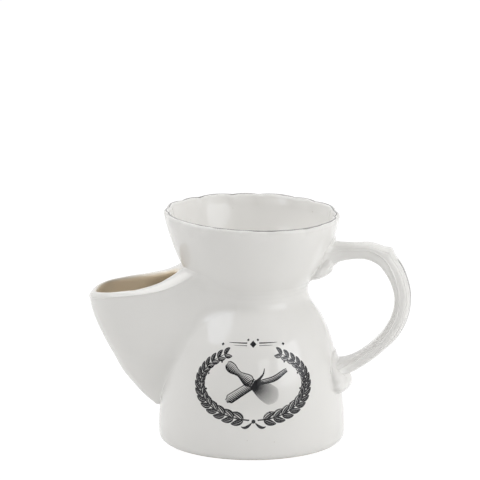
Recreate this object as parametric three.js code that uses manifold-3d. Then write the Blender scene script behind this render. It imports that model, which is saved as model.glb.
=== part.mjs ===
// Shaving scuttle in glazed white earthenware: a bell-shaped hot water reservoir with a brush
// spout on -X, a scalloped soap bowl on its waist and a ridged strap handle on +X.
// Millimetres, +Z up, origin in the middle of the foot.
import * as THREE from 'three';
import { mergeVertices } from 'three/addons/utils/BufferGeometryUtils.js';
import Module from 'manifold-3d';

const wasm = await Module();
wasm.setup();

// Sizes that drive the rest
const wall = 4; // clay thickness of body and spout
const bowlWall = 3.7; // the bowl is thrown a little thinner
const joint = 0.3; // slip joint between two luted pieces
const waistHeight = 79; // where bowl meets reservoir
const rimHeight = 118.4; // top of the highest scallop
const footRecess = 2.5; // underside stands this far off the table
const floorTop = 6.5;
const keelHeight = 15; // lowest point of the spout on the body
const spoutBack = 15; // the spout's sections start this far from the axis, inside the body
const windowTop = 66; // top of the opening between reservoir and spout
const windowBottom = 22;
const ledgeHeight = 83; // seat for the drainer inside the bowl
const ledgeRadius = 26.9;
const throatRadius = 22.5;
const drainerThickness = 3.3;
const rimTilt = 0.025; // the rim warps in the kiln: it dips towards the handle by this share
const rimTwist = 0.00023; // and a little more in front than behind, per millimetre
const tiltStart = 88; // the bowl stands true below this height
const lobeStart = 16.5; // degrees, first notch of the scalloped rim
const wideLobe = 27; // degrees; the narrow lobe fills the rest of 45
const lobePitch = 45;

const glaze = new THREE.MeshStandardMaterial({ color: 0xeeece7, roughness: 0.12, metalness: 0 });
const glazeInside = new THREE.MeshStandardMaterial({ color: 0xe2ddd2, roughness: 0.2, metalness: 0 });

// Smooth curve through stations written as [position, value], as a function of position
function curveThrough(stations) {
  const last = stations.length - 1;
  const slopes = stations.map((station, i) => {
    const before = stations[Math.max(i - 1, 0)];
    const after = stations[Math.min(i + 1, last)];
    return (after[1] - before[1]) / (after[0] - before[0]);
  });
  return (position) => {
    const x = Math.min(Math.max(position, stations[0][0]), stations[last][0]);
    const i = Math.max(0, Math.min(last - 1, stations.findIndex((s) => s[0] >= x) - 1));
    const span = stations[i + 1][0] - stations[i][0];
    const t = (x - stations[i][0]) / span;
    const ease = t * t * (3 - 2 * t);
    const value = stations[i][1] * (1 - ease) + stations[i + 1][1] * ease;
    const lean = slopes[i] * t * (1 - t) * (1 - t) - slopes[i + 1] * t * t * (1 - t);
    return value + lean * span;
  };
}

// Evenly spaced numbers from a to b, both ends included
function steps(a, b, count) {
  return Array.from({ length: count + 1 }, (_, i) => a + ((b - a) * i) / count);
}

// three.js geometry to a manifold solid, turned inside out if its faces point inwards
function toSolid(geometry) {
  const bare = new THREE.BufferGeometry();
  bare.setAttribute('position', geometry.toNonIndexed().getAttribute('position'));
  const merged = mergeVertices(bare, 1e-4);
  const triVerts = new Uint32Array(merged.index.array);
  const vertProperties = merged.attributes.position.array;
  const made = new wasm.Manifold(new wasm.Mesh({ numProp: 3, vertProperties, triVerts }));
  if (made.volume() > 0) return made;
  for (let i = 0; i < triVerts.length; i += 3) {
    [triVerts[i + 1], triVerts[i + 2]] = [triVerts[i + 2], triVerts[i + 1]];
  }
  return new wasm.Manifold(new wasm.Mesh({ numProp: 3, vertProperties, triVerts }));
}

// Named mesh from a manifold solid
function toMesh(name, solid, material) {
  const found = solid.getMesh();
  const geometry = new THREE.BufferGeometry();
  geometry.setAttribute('position', new THREE.BufferAttribute(found.vertProperties.slice(), 3));
  geometry.setIndex(new THREE.BufferAttribute(found.triVerts.slice(), 1));
  geometry.computeVertexNormals();
  const mesh = new THREE.Mesh(geometry, material);
  mesh.name = name;
  return mesh;
}

// Solid through rings of equal length, each a list of [x, y, z], closed by a fan at both ends
function loft(rings) {
  const size = rings[0].length;
  const middle = (ring) => [0, 1, 2].map((k) => ring.reduce((sum, p) => sum + p[k], 0) / size);
  const points = [...rings.flat(), middle(rings[0]), middle(rings.at(-1))];
  const faces = [];
  for (let r = 0; r + 1 < rings.length; r += 1) {
    for (let i = 0; i < size; i += 1) {
      const a = r * size + i;
      const b = r * size + ((i + 1) % size);
      faces.push(a, b, a + size, b, b + size, a + size);
    }
  }
  const top = (rings.length - 1) * size;
  for (let i = 0; i < size; i += 1) {
    const next = (i + 1) % size;
    faces.push(next, i, points.length - 2);
    faces.push(top + i, top + next, points.length - 1);
  }
  const geometry = new THREE.BufferGeometry();
  geometry.setAttribute('position', new THREE.Float32BufferAttribute(points.flat(), 3));
  geometry.setIndex(faces);
  return toSolid(geometry);
}

// Revolved solid about Z from [radius, height] pairs, first point of the turn at the given angle
function revolve(profile, segments, startAngle = 0) {
  const points = profile.map(([radius, height]) => new THREE.Vector2(radius, height));
  const start = THREE.MathUtils.degToRad(startAngle + 90);
  return new THREE.LatheGeometry(points, segments, start).rotateX(Math.PI / 2);
}

// Outside radius of the bell from foot to waist
const bellRadius = curveThrough([
  [0, 46.9], [1, 47.5], [4, 47.9], [9, 47.9], [18.8, 47.1], [30, 45.6], [44.3, 42.9],
  [54.9, 40], [61.2, 37.2], [65.5, 34.9], [69.7, 32], [72.5, 30.1], [75.5, 29], [79, 28.7],
]);

// Outside radius of the bowl from waist to rim
const bowlRadius = curveThrough([
  [79, 28.7], [80.5, 29], [82.4, 29.9], [86, 32.5], [89.6, 34.9], [93, 36.8], [97, 38.6],
  [101.5, 40.4], [106, 42.0], [110, 43.3], [114, 44.3], [118.4, 44.9],
]);

const bellStations = [0, 0.5, 1.5, 4, 12, 24, 36, 46, 53, 59, 63.5, 67, 70, 72.5, 75.5, 79];
const bowlStations = [79.3, 81, 84, 88, 93, 99, 105, 110, 114, 116.8];
const bellInside = [10, 24, 40, 52, 61, 67, 71.5, 75.5, 79];
const bowlInside = [90, 95, 101, 108, 113];
const bellSegments = 64;
const bowlSegments = 80; // six to a wide lobe and four to a narrow one

// Profile moved inwards by the wall thickness, square to the surface
function insetProfile(radiusAt, heights, thickness) {
  return heights.map((z) => {
    const lean = (radiusAt(z + 0.5) - radiusAt(z - 0.5)) / 1;
    const length = Math.hypot(1, lean);
    return [radiusAt(z) - thickness / length, z + (thickness * lean) / length];
  });
}

// Lowers the bowl on the handle's side and raises it on the spout's, more towards the rim
function tiltRim(geometry) {
  const position = geometry.getAttribute('position');
  for (let i = 0; i < position.count; i += 1) {
    const fade = THREE.MathUtils.smoothstep(position.getZ(i), tiltStart, rimHeight);
    const dip = position.getX(i) * (rimTilt - rimTwist * position.getY(i));
    position.setZ(i, position.getZ(i) - dip * fade);
  }
  return geometry;
}

// Filled bell and filled bowl, a slip joint larger than the real ones, to trim what is luted on
function trimmingBell() {
  const skin = bellStations.map((z) => [bellRadius(z) + joint, z]);
  return toSolid(revolve([[0, -1], [46.9 + joint, -1], ...skin, [0, 79]], bellSegments));
}

function trimmingBowl() {
  const skin = bowlStations.map((z) => [bowlRadius(z) + joint, z]);
  const profile = [[0, 78], [28.7 + joint, 78], ...skin, [0, 116.8]];
  return toSolid(tiltRim(revolve(profile, bowlSegments, lobeStart)));
}

// Keel of the spout seen from the side: reach from the axis at each height
const keelReach = curveThrough([
  [15, 49.6], [19.4, 54.9], [25.6, 60.5], [33.8, 66.8], [42.2, 71.2], [50.5, 75.7],
  [57, 78.9], [63, 81.4], [69, 83.1], [74, 83.7], [93, 83.9],
]);

// Half width of the spout where it leaves the body, at each height
const spoutHalfWidth = curveThrough([
  [15, 1.5], [20, 7], [25, 11], [30, 14.6], [37, 19], [46, 23.8], [56, 24.4], [66, 24.6], [93, 24.6],
]);

// Height of the soft crease under the rolled lip, against the reach
const creaseHeight = curveThrough([
  [15, 93], [26.4, 90.6], [28.1, 88.6], [33.8, 85.1], [42.4, 81.4], [51, 79.1], [62.8, 76.8],
  [75, 74.3], [84, 72],
]);

// Around the mouth, 0 degrees is the tip and 180 the neck: how far round the outline each goes
const outlineTurn = curveThrough([
  [0, 0], [38, 36], [76, 54.5], [105, 68], [130, 76], [152, 82], [165, 86.5], [172.5, 90],
]);

// Height of the mouth's edge, and how much the lip swells above a straight line to the crease
const mouthHeight = curveThrough([
  [0, 75.7], [45, 76.9], [75, 78.5], [105, 80.7], [130, 83], [150, 85.4], [180, 87.4],
]);
const lipSwell = curveThrough([
  [0, 1.6], [40, 1.3], [70, 0.8], [115, 0.7], [140, 1.3], [165, 2.6], [180, 2.6],
]);
const lipOverhang = curveThrough([
  [0, 0.05], [30, 0.15], [60, 0.5], [90, 0.6], [140, 0.4], [180, 0],
]);

const mouthColumns = steps(-180, 172.5, 47);

// Power of a sine or cosine that keeps its sign, for rounded-square outlines
function signedPower(value, power) {
  return Math.sign(value) * Math.abs(value) ** power;
}

// Point of the spout's outline in a level plane, the given thickness inside the outer skin
function spoutPoint(column, z, inset) {
  if (column === -180) return [-spoutBack, 0, z];
  const turn = THREE.MathUtils.degToRad(outlineTurn(Math.abs(column)));
  const reach = (keelReach(z) - inset - spoutBack) * Math.cos(turn) ** (2 / 3);
  const half = Math.max(spoutHalfWidth(z) - inset, 0.5) * Math.sin(turn) ** (2 / 2.5);
  return [-spoutBack - reach, Math.sign(column) * half, z];
}

// Point on the edge of the mouth: blunt at the tip, drawn to a point at the neck
function mouthPoint(column) {
  const angle = THREE.MathUtils.degToRad(column);
  const blunt = Math.abs(column) < 90 ? 2 / 3 : 2 / 1.75;
  const reach = 59 + 20.3 * signedPower(Math.cos(angle), blunt);
  const half = 16.4 * signedPower(Math.sin(angle), blunt);
  return [-reach, half, mouthHeight(Math.abs(column))];
}

function mix(a, b, share) {
  return a.map((value, k) => value + (b[k] - value) * share);
}

// One column of the spout's wall: up the outside, over the rolled lip and down the inside
function spoutColumn(column) {
  const away = Math.abs(column);
  const creaseAt = spoutPoint(column, 76, 0);
  const crease = spoutPoint(column, creaseHeight(-creaseAt[0]), 0);
  const edge = mouthPoint(column);
  const outside = [0, 0.07, 0.16, 0.28, 0.42, 0.57, 0.72, 0.86, 0.96]
    .map((share) => spoutPoint(column, keelHeight + (crease[2] - keelHeight) * share, 0));
  const out = [crease[0] - edge[0], crease[1] - edge[1]];
  const length = Math.hypot(...out) || 1;
  const overhang = lipOverhang(away);
  const roll = [[0, 1, 0.35], [0.12, 1, 0.8], [0.35, 0.5, 1.05], [0.65, 0, 1], [0.9, 0, 0.55]]
    .map(([share, proud, swell]) => {
      const point = mix(crease, edge, share);
      point[0] += (out[0] / length) * proud * overhang;
      point[1] += (out[1] / length) * proud * overhang;
      point[2] += swell * lipSwell(away);
      return point;
    });
  const inside = [0.06, 0.16, 0.3, 0.48, 0.68, 0.86, 1].map((share) => {
    const z = edge[2] + (windowBottom - edge[2]) * share;
    const settled = Math.min(1, (edge[2] - z) / 14);
    const ease = settled * settled * (3 - 2 * settled);
    const straight = [edge[0], edge[1], z];
    return mix(straight, spoutPoint(column, z, wall + 0.5), ease);
  });
  return [...outside, crease, ...roll, edge, ...inside];
}

function makeSpout(bell, bowl) {
  const columns = mouthColumns.map(spoutColumn);
  const rings = columns[0].map((_, row) => columns.map((column) => column[row]));
  return loft(rings).subtract(bell).subtract(bowl);
}

// The way from the reservoir into the spout, cut out of the reservoir's wall
function makeWindow() {
  const heights = [windowBottom, 26, 31, 38, 46, 56, windowTop];
  return loft(heights.map((z) => mouthColumns.map((column) => spoutPoint(column, z, wall + 0.5))));
}

function makeReservoir() {
  const outside = bellStations.map((z) => [bellRadius(z), z]);
  const inside = insetProfile(bellRadius, bellInside, wall).reverse();
  inside[0] = [28.7 - wall, waistHeight];
  const foot = [[0, footRecess], [39.8, footRecess], [41.4, 0.3], [41.8, 0]];
  const floor = [[42.6, 11], [40.5, 7.6], [38, floorTop], [0, floorTop]];
  const shell = toSolid(revolve([...foot, ...outside, ...inside, ...floor], bellSegments));
  return shell.subtract(makeWindow());
}

// Height of the scallops round the rim, 0 in a notch and 1 on top of a wide lobe
function scallop(angle) {
  const turn = THREE.MathUtils.euclideanModulo(angle - lobeStart, lobePitch);
  const wide = turn < wideLobe;
  const share = wide ? turn / wideLobe : (turn - wideLobe) / (lobePitch - wideLobe);
  return Math.sin(Math.PI * share) ** 0.75 * (wide ? 1 : 0.7);
}

// Pushes the rim of the revolved bowl out and up into lobes with sharp notches between them
function scallopRim(geometry) {
  const position = geometry.getAttribute('position');
  for (let i = 0; i < position.count; i += 1) {
    const [x, y, z] = [position.getX(i), position.getY(i), position.getZ(i)];
    const radius = Math.hypot(x, y);
    if (z < 106) continue;
    const fade = THREE.MathUtils.smoothstep(z, 106, rimHeight);
    const lobe = scallop(THREE.MathUtils.radToDeg(Math.atan2(y, x)));
    const scale = (radius + (1.3 * lobe - 0.8) * fade) / radius;
    position.setXYZ(i, x * scale, y * scale, z + (lobe - 1) * 0.4 * fade);
  }
  return geometry;
}

function makeBowl() {
  const outside = bowlStations.map((z) => [bowlRadius(z), z]);
  const rim = [[44.6, 117.9], [43.6, rimHeight], [42.4, 118.2], [41.5, 117.2]];
  const inside = insetProfile(bowlRadius, bowlInside, bowlWall).reverse();
  const throat = [
    [29.2, 87.9], [27.6, 86.7], [ledgeRadius, 86.2], [ledgeRadius, ledgeHeight],
    [throatRadius, ledgeHeight], [throatRadius, 81.2], [24.8, 79.3],
  ];
  const profile = [...outside, ...rim, ...inside, ...throat];
  return toSolid(tiltRim(scallopRim(revolve([...profile, profile[0]], bowlSegments, lobeStart))));
}

// Pierced disc between soap and water: one hole in the middle and a ring of six
function makeDrainer() {
  const base = ledgeHeight + joint;
  const top = base + drainerThickness;
  const outer = ledgeRadius - joint;
  const edge = [[outer - 0.6, base], [outer, base + 0.6], [outer, top - 0.8], [outer - 0.8, top]];
  let solid = toSolid(revolve([[0, base], ...edge, [0, top]], 40));
  for (let i = 0; i < 7; i += 1) {
    const hole = new THREE.CylinderGeometry(3, 2.6, 12, 16).rotateX(Math.PI / 2);
    const angle = (i * Math.PI) / 3;
    const away = i < 6 ? 14 : 0;
    hole.translate(away * Math.cos(angle), away * Math.sin(angle), base + 1.5);
    solid = solid.subtract(toSolid(hole));
  }
  return solid;
}

// Middle line of the handle in the plane of symmetry, as [reach, height]
const handleLine = new THREE.CatmullRomCurve3([
  [35, 97.6], [43, 98.1], [52, 98.9], [60.6, 98.9], [68, 96], [72.6, 91], [75.7, 84.7],
  [77.6, 76.1], [76.2, 65.9], [71.6, 56.7], [66.6, 51], [60.4, 45.4], [52.1, 40], [40, 34.8],
].map(([x, z]) => new THREE.Vector3(x, 0, z)));

// Along the handle, 0 at the bowl and 1 at the body: thickness in side view and half width
const handleThickness = curveThrough([
  [0, 13.4], [0.05, 11.4], [0.1, 8.9], [0.16, 7.7], [0.22, 8.3], [0.3, 8.9], [0.36, 9], [0.42, 8.6],
  [0.5, 8.3], [0.6, 8.3], [0.66, 8.1], [0.72, 7.4], [0.8, 7.1], [0.86, 7.1], [0.92, 7.8], [1, 10],
]);
const handleHalfWidth = curveThrough([
  [0, 6.8], [0.08, 6.5], [0.2, 6.5], [0.34, 6.9], [0.5, 6.5], [0.75, 6.1], [0.9, 6.6], [1, 7.8],
]);

// Heights in the strap's section, in shares of its thickness: the bead along the flat side, and the
// shoulder where the side turns over to the round outer face
const beadAt = curveThrough([[0, 0.1], [0.2, 0.14], [0.38, -0.1], [0.5, -0.2], [1, -0.22]]);
const shoulderAt = curveThrough([
  [0, 0.34], [0.2, 0.32], [0.33, 0.14], [0.45, 0.02], [0.65, 0.05], [0.85, 0.22], [1, 0.26],
]);

// Half of the strap's section as [outwards, sideways], in shares of thickness and half width
function strapSection(share) {
  const bead = beadAt(share);
  const shoulder = shoulderAt(share);
  const crown = [0, 30, 53, 75, 90].map((degrees) => {
    const turn = THREE.MathUtils.degToRad(degrees);
    return [shoulder + (0.5 - shoulder) * Math.sin(turn), 0.95 * Math.cos(turn)];
  });
  const side = [
    [-0.5, 0], [-0.49, 0.6], [-0.4, 0.94], [bead - 0.06, 0.97], [bead, 1.03], [bead + 0.06, 0.97],
  ];
  return [...side, ...crown];
}

function strapRing(share, extra) {
  const middle = handleLine.getPointAt(share);
  const along = handleLine.getTangentAt(share);
  const outwards = new THREE.Vector3(-along.z, 0, along.x);
  const thumb = 1.2 * Math.exp(-(((share - 0.298) / 0.018) ** 2));
  const half = strapSection(share).map(([u, v]) => [
    u * (handleThickness(share) + extra) + (u > 0.28 ? thumb : 0),
    v * (handleHalfWidth(share) + extra / 2),
  ]);
  const other = half.slice(1, -1).reverse().map(([u, v]) => [u, -v]);
  return [...half, ...other].map(([u, v]) => [
    middle.x + outwards.x * u,
    v,
    middle.z + outwards.z * u,
  ]);
}

function strap(extra) {
  const thumbShares = [0.262, 0.278, 0.291, 0.305, 0.318, 0.34, 0.365];
  const shares = [...steps(0, 0.235, 6), ...thumbShares, ...steps(0.4, 1, 15)];
  return loft(shares.map((share) => strapRing(share, extra)));
}

// Leaf moulded on a wall of revolution at a handle root: steep edges and a swelling middle
function leaf(heights, radiusAt, proudAt, halfWidthAt) {
  const across = steps(-1, 1, 12);
  return loft(heights.map((z) => {
    const front = across.map((s) => {
      const swell = 0.55 + 0.45 * Math.exp(-((s / 0.55) ** 2));
      const radius = radiusAt(z) + proudAt(z) * swell * (1 - s ** 8) ** 0.5;
      const angle = (s * halfWidthAt(z)) / radiusAt(z);
      return [radius * Math.cos(angle), radius * Math.sin(angle), z];
    });
    const back = across.slice(1, -1).reverse().map((s) => {
      const angle = (s * halfWidthAt(z)) / radiusAt(z);
      const radius = radiusAt(z) - 3;
      return [radius * Math.cos(angle), radius * Math.sin(angle), z];
    });
    return [...front, ...back];
  }));
}

// Fan-shaped leaf that the upper root grows out of, on the flank of the bowl
function makeUpperLeaf(bowl, grip) {
  const heights = [84.2, 84.7, 85.8, 87.4, 89, 90.6, 92.2, 94, 96, 98, 100.4, 103, 105.4];
  const proud = curveThrough([
    [84.2, 1], [85.5, 5.4], [88, 7.2], [90.4, 6.4], [93, 7.4], [96, 6.5], [100, 3.8], [105.4, 0.6],
  ]);
  const half = curveThrough([
    [84.2, 4], [85.6, 9.5], [87.4, 12], [89.2, 11.8], [91.4, 9.6], [94, 9], [98, 8.8], [102, 8.6],
    [105.4, 5],
  ]);
  return leaf(heights, bowlRadius, proud, half).subtract(bowl).subtract(grip);
}

// Leaf below the lower root, running down the body
function makeLowerLeaf(bell, grip) {
  const heights = [24, 24.6, 25.8, 27.4, 29, 30.6, 32.6, 34.4, 36.4, 39, 42, 44, 45.6];
  const proud = curveThrough([
    [24, 1], [25.4, 4.2], [27.6, 5.7], [30.6, 6.5], [34, 5.8], [38, 6], [42, 4], [44, 2.4], [45.6, 0.8],
  ]);
  const half = curveThrough([
    [24, 3], [25.2, 9], [27, 13.6], [29.4, 15.4], [32.4, 14.2], [35.6, 15], [39, 13.4], [42, 12.4],
    [44, 10.6], [45.6, 7],
  ]);
  return leaf(heights, bellRadius, proud, half).subtract(bell).subtract(grip);
}

// The piece of a trimmed solid that stays, without crumbs left on the far side of a wall
function largest(solid) {
  const bodies = solid.decompose();
  return bodies.reduce((best, body) => (body.volume() > best.volume() ? body : best));
}

const bell = trimmingBell();
const bowl = trimmingBowl();
const grip = strap(2 * joint);

const scuttle = new THREE.Group();
scuttle.add(toMesh('reservoir_body', makeReservoir(), glaze));
scuttle.add(toMesh('brush_spout', largest(makeSpout(bell, bowl)), glaze));
scuttle.add(toMesh('soap_bowl', makeBowl(), glaze));
scuttle.add(toMesh('soap_drainer', makeDrainer(), glazeInside));
scuttle.add(toMesh('handle', largest(strap(0).subtract(bowl).subtract(bell)), glaze));
scuttle.add(toMesh('upper_leaf_terminal', largest(makeUpperLeaf(bowl, grip)), glaze));
scuttle.add(toMesh('lower_leaf_terminal', largest(makeLowerLeaf(bell, grip)), glaze));

export default scuttle;
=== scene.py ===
# White glazed shaving scuttle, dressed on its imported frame.
# Shapes are worked out in millimetres and scaled to metres when a mesh is made.
import math

import bmesh
import bpy
import numpy as np
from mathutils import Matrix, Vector
from mathutils.bvhtree import BVHTree


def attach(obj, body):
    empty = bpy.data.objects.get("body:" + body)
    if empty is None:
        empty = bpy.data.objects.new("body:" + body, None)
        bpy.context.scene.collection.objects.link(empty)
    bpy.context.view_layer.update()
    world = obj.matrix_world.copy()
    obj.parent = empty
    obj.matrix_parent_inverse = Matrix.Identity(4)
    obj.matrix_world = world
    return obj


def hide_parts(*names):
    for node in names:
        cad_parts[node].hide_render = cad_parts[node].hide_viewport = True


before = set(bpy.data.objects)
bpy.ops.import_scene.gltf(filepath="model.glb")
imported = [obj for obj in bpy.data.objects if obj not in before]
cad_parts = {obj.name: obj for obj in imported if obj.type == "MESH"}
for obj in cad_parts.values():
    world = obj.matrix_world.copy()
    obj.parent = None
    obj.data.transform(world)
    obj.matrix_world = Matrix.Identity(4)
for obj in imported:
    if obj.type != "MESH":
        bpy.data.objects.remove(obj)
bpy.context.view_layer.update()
mm = 0.001
print("frame loaded")


# Smooth curve through (position, value) stations, as a function of position
def curveThrough(stations):
    xs = np.array([station[0] for station in stations], float)
    ys = np.array([station[1] for station in stations], float)
    last = len(xs) - 1
    before = np.maximum(np.arange(last + 1) - 1, 0)
    after = np.minimum(np.arange(last + 1) + 1, last)
    slopes = (ys[after] - ys[before]) / (xs[after] - xs[before])

    def valueAt(position):
        x = np.clip(np.asarray(position, float), xs[0], xs[-1])
        i = np.clip(np.searchsorted(xs, x, side="left") - 1, 0, last - 1)
        span = xs[i + 1] - xs[i]
        t = (x - xs[i]) / span
        ease = t * t * (3 - 2 * t)
        value = ys[i] * (1 - ease) + ys[i + 1] * ease
        lean = slopes[i] * t * (1 - t) ** 2 - slopes[i + 1] * t * t * (1 - t)
        return value + lean * span

    return valueAt


def smoothStep(low, high, value):
    t = np.clip((np.asarray(value, float) - low) / (high - low), 0, 1)
    return t * t * (3 - 2 * t)


# Larger of two values, with a soft hand-over as wide as blend
def smoothMax(a, b, blend):
    nearness = np.maximum(blend - np.abs(a - b), 0) / blend
    return np.maximum(a, b) + nearness * nearness * blend / 4


# Rounded curve through points, a fixed number of steps between each two
def roundedPath(points, stepsEach, closed=False):
    p = np.asarray(points, float)
    count = len(p)
    if closed:
        padded = np.concatenate([p[-1:], p, p[:2]])
        spans = count
    else:
        padded = np.concatenate([2 * p[:1] - p[1:2], p, 2 * p[-1:] - p[-2:-1]])
        spans = count - 1
    out = []
    for i in range(spans):
        p0, p1, p2, p3 = padded[i:i + 4]
        t0 = 0
        t1 = t0 + max(np.linalg.norm(p1 - p0), 1e-6) ** 0.5
        t2 = t1 + max(np.linalg.norm(p2 - p1), 1e-6) ** 0.5
        t3 = t2 + max(np.linalg.norm(p3 - p2), 1e-6) ** 0.5
        for t in np.linspace(t1, t2, stepsEach, endpoint=False):
            a1 = (t1 - t) / (t1 - t0) * p0 + (t - t0) / (t1 - t0) * p1
            a2 = (t2 - t) / (t2 - t1) * p1 + (t - t1) / (t2 - t1) * p2
            a3 = (t3 - t) / (t3 - t2) * p2 + (t - t2) / (t3 - t2) * p3
            b1 = (t2 - t) / (t2 - t0) * a1 + (t - t0) / (t2 - t0) * a2
            b2 = (t3 - t) / (t3 - t1) * a2 + (t - t1) / (t3 - t1) * a3
            out.append((t2 - t) / (t2 - t1) * b1 + (t - t1) / (t2 - t1) * b2)
    if not closed:
        out.append(p[-1])
    return np.array(out)


# Distance run along a path at each of its points
def runAlong(path):
    return np.concatenate([[0], np.cumsum(np.linalg.norm(np.diff(path, axis=0), axis=1))])


# Quads between neighbouring rows of a grid of points
def gridFaces(rows, columns, closedColumns=True, closedRows=False):
    rowCount = rows if closedRows else rows - 1
    columnCount = columns if closedColumns else columns - 1
    r, c = np.meshgrid(np.arange(rowCount), np.arange(columnCount), indexing="ij")
    nextRow = (r + 1) % rows
    nextColumn = (c + 1) % columns
    corners = [
        r * columns + c,
        r * columns + nextColumn,
        nextRow * columns + nextColumn,
        nextRow * columns + c,
    ]
    return np.stack(corners, -1).reshape(-1, 4).tolist()


# Mesh object from points in millimetres, with its faces turned outwards
def makeObject(name, points, faces, sharpAngle=35):
    points = np.asarray(points, float)
    mesh = bpy.data.meshes.new(name)
    mesh.from_pydata((points * mm).tolist(), [], faces)
    work = bmesh.new()
    work.from_mesh(mesh)
    if work.calc_volume(signed=True) < 0:
        bmesh.ops.reverse_faces(work, faces=work.faces)
    work.to_mesh(mesh)
    work.free()
    mesh.validate()
    piece = bpy.data.objects.new(name, mesh)
    bpy.context.scene.collection.objects.link(piece)
    shadeSmooth(piece, sharpAngle)
    return piece


def shadeSmooth(piece, sharpAngle):
    piece.data.shade_smooth()
    piece.data.set_sharp_from_angle(angle=math.radians(sharpAngle))


# Closed solid through rings of equal length, (rings, points, 3), with a fan at both ends
def loftRings(rings):
    rings = np.asarray(rings, float)
    count, size = rings.shape[:2]
    points = np.concatenate([rings.reshape(-1, 3), rings[:1].mean(1), rings[-1:].mean(1)])
    faces = gridFaces(count, size)
    top = (count - 1) * size
    for i in range(size):
        following = (i + 1) % size
        faces.append([following, i, count * size])
        faces.append([top + i, top + following, count * size + 1])
    return points, faces


# Revolved solid from a closed loop of (radius, height), or one with both ends on the axis
def revolve(profile, segments, firstAngle=0.0):
    profile = np.asarray(profile, float)
    angles = np.radians(firstAngle + np.arange(segments) * 360 / segments)
    onAxis = profile[0][0] < 1e-6
    ringed = profile[1:-1] if onAxis else profile
    x = ringed[:, :1] * np.cos(angles)
    y = ringed[:, :1] * np.sin(angles)
    z = np.repeat(ringed[:, 1:], segments, axis=1)
    points = np.stack([x, y, z], -1).reshape(-1, 3)
    faces = gridFaces(len(ringed), segments, closedRows=not onAxis)
    if onAxis:
        first = len(points)
        top = (len(ringed) - 1) * segments
        points = np.concatenate([points, [[0, 0, profile[0][1]], [0, 0, profile[-1][1]]]])
        for i in range(segments):
            following = (i + 1) % segments
            faces.append([following, i, first])
            faces.append([top + i, top + following, first + 1])
    return points, faces


# Cuts one solid out of another and leaves the cut mesh in the piece
def cutAway(piece, cutter, sharpAngle=35):
    modifier = piece.modifiers.new("cut", "BOOLEAN")
    modifier.operation = "DIFFERENCE"
    modifier.solver = "MANIFOLD"
    modifier.object = cutter
    depsgraph = bpy.context.evaluated_depsgraph_get()
    cut = bpy.data.meshes.new_from_object(piece.evaluated_get(depsgraph))
    cut.name = piece.name
    piece.modifiers.clear()
    piece.data = cut
    shadeSmooth(piece, sharpAngle)


def removeObject(helper):
    bpy.data.objects.remove(helper, do_unlink=True)


def readPoints(piece):
    flat = np.empty(len(piece.data.vertices) * 3)
    piece.data.vertices.foreach_get("co", flat)
    return flat.reshape(-1, 3) / mm


def writePoints(piece, points):
    piece.data.vertices.foreach_set("co", (points * mm).ravel())
    piece.data.update()


# Shape of the pot

potShape = {
    "waist": 79,  # where the bowl is luted to the bell
    "rim": 118.4,
    "rimTilt": 0.025,  # the rim dips towards the handle by this share
    "rimTwist": 0.00023,  # and a little more in front than behind, per millimetre
    "tiltStart": 88,
    "softening": 1.2,  # the glaze rounds changes of curve over this many millimetres
    "softFrom": [3, 8],  # it sets in between these heights, so that the foot stays crisp
    "softTo": [112, 117],  # and fades out between these, so that the rim does
    "ringDepth": 0.05,  # faint turning rings round the neck
    "ringPitch": 2.5,
    "ringMiddle": 2,  # they are deepest this far above the waist
    "ringReach": 3.4,  # and fade over this distance
    "wall": 4,
    "bowlWall": 3.7,
    "tuckIn": 0.012,  # how fast bell and bowl shrink where one runs on inside the other
}

bellRadius = curveThrough([
    [0, 46.9], [1, 47.5], [4, 47.9], [9, 47.9], [18.8, 47.1], [30, 45.6], [44.3, 42.9],
    [54.9, 40], [61.2, 37.2], [65.5, 34.9], [69.7, 32], [72.5, 30.1], [75.5, 29], [79, 28.7],
])
bowlRadius = curveThrough([
    [79, 28.7], [80.5, 29], [82.4, 29.9], [86, 32.5], [89.6, 34.9], [93, 36.8], [97, 38.6],
    [101.5, 40.4], [106, 42], [110, 43.3], [114, 44.3], [118.4, 44.9],
])


def makeRadiusTable():
    spacing = 0.25
    heights = np.arange(-6, 126 + spacing, spacing)
    raw = np.where(heights < potShape["waist"], bellRadius(heights), bowlRadius(heights))
    reach = int(4 * potShape["softening"] / spacing)
    offsets = np.arange(-reach, reach + 1) * spacing
    weights = np.exp(-0.5 * (offsets / potShape["softening"]) ** 2)
    weights /= weights.sum()
    soft = np.convolve(np.pad(raw, reach, mode="edge"), weights, mode="valid")
    keep = smoothStep(*potShape["softFrom"], heights) * (1 - smoothStep(*potShape["softTo"], heights))
    above = heights - potShape["waist"]
    rings = np.sin(above * 2 * math.pi / potShape["ringPitch"])
    fade = (above - potShape["ringMiddle"]) / potShape["ringReach"]
    rings *= potShape["ringDepth"] * np.exp(-(fade ** 2))
    return heights, raw * (1 - keep) + soft * keep + rings


radiusHeights, radiusValues = makeRadiusTable()


def potRadius(z):
    return np.interp(z, radiusHeights, radiusValues)


# How far the bowl has sunk at a place, more towards its rim
def tiltAt(x, z, y=0.0):
    dip = x * (potShape["rimTilt"] - potShape["rimTwist"] * y)
    return dip * smoothStep(potShape["tiltStart"], potShape["rim"], z)


# Outside radius at a height on the side of the pot that x is on, with the tilt of the bowl
def skinRadius(x, z):
    return potRadius(z + tiltAt(x, z))


# Profile moved inwards by the wall, square to the surface
def insetProfile(heights, thickness):
    lean = potRadius(heights + 0.5) - potRadius(heights - 0.5)
    length = np.hypot(1, lean)
    inner = np.stack([potRadius(heights) - thickness / length, heights + thickness * lean / length], 1)
    return inner.tolist()


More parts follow.
